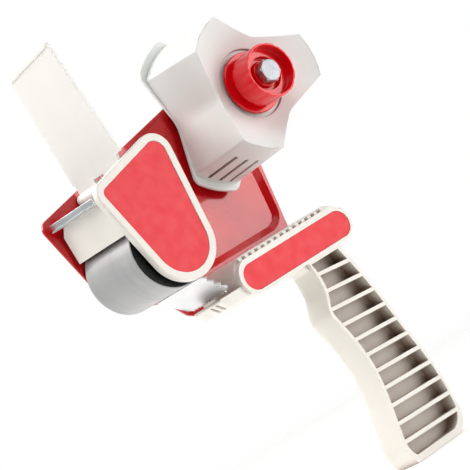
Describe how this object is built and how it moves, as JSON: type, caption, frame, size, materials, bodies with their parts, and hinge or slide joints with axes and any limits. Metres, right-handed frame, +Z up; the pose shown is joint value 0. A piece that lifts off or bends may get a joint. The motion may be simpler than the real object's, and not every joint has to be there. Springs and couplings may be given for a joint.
{
  "type": "hand-held packing tape dispenser",
  "caption": "Pistol-grip packing-tape dispenser: three-lobed hub with brake knob, front roller, toothed blade, sprung wiper flap and red steel side plate.",
  "frame": {"origin": "on the hub axis, level with the tips of the hub's open end", "axes": "+X rearward from the roller towards the hub, +Y from the open side to the side plate along the hub axis, +Z up, with the grip pointing down"},
  "size_m": [0.1717, 0.0707, 0.2718],
  "materials": {
    "frame_paint": "gloss red paint on pressed steel",
    "cream_plastic": "fine satin moulded plastic",
    "red_inset": "satin red plastic film",
    "zinc": "zinc plated",
    "blade_steel": "ground spring steel",
    "bar_steel": "plain satin steel",
    "flap_plastic": "smooth satin plastic",
    "spring_steel": "drawn spring wire",
    "grey_sleeve": "smooth satin grey sleeve",
    "black_plastic": "matt black moulding",
    "hub_plastic": "satin moulded plastic",
    "fibre": "brown pressed fibre",
    "knob_red": "high gloss red plastic"
  },
  "bodies": {
    "frame": {"side_frame": "frame_paint", "handle": "cream_plastic", "stock_inset": "red_inset", "handle_screws": "zinc", "front_cover": "cream_plastic", "front_cover_inset": "red_inset", "cover_screws": "zinc", "cutting_blade": "blade_steel", "blade_bar": "bar_steel", "blade_screws": "zinc", "flap_pin": "zinc", "roller_axle": "zinc", "axle_washers": "zinc", "axle_nut": "zinc", "tape_comb": "blade_steel", "comb_rivets": "zinc", "hub_bolt": "zinc", "spindle_tube": "zinc", "spindle_spacer": "zinc", "friction_washer": "fibre", "lock_washer": "zinc", "lock_nut": "zinc"},
    "roller": {"roller_sleeve": "grey_sleeve", "roller_core": "black_plastic"},
    "hub": {"hub_drum": "hub_plastic", "hub_flange": "hub_plastic", "thrust_washer": "zinc"},
    "knob": {"tension_knob": "knob_red", "brake_spring": "spring_steel"},
    "flap": {"wiper_flap": "flap_plastic", "flap_spring": "spring_steel"}
  },
  "joints": [
    {"name": "roller_spin", "type": "hinge", "parent": "frame", "child": "roller", "pos_m": [-0.101, 0.0273, -0.0489], "axis": [0, 1, 0], "continuous": true},
    {"name": "hub_spin", "type": "hinge", "parent": "frame", "child": "hub", "pos_m": [0, 0.0225, 0], "axis": [0, 1, 0], "continuous": true},
    {"name": "knob_turn", "type": "hinge", "parent": "frame", "child": "knob", "pos_m": [0, 0, 0], "axis": [0, -1, 0], "range_deg": [-360, 360]},
    {"name": "flap_tilt", "type": "hinge", "parent": "frame", "child": "flap", "pos_m": [-0.0982, 0.027, -0.0076], "axis": [0, 1, 0], "range_deg": [0, 18], "stiffness_Nm_per_rad": 0.05, "springref_deg": -20.05}
  ]
}
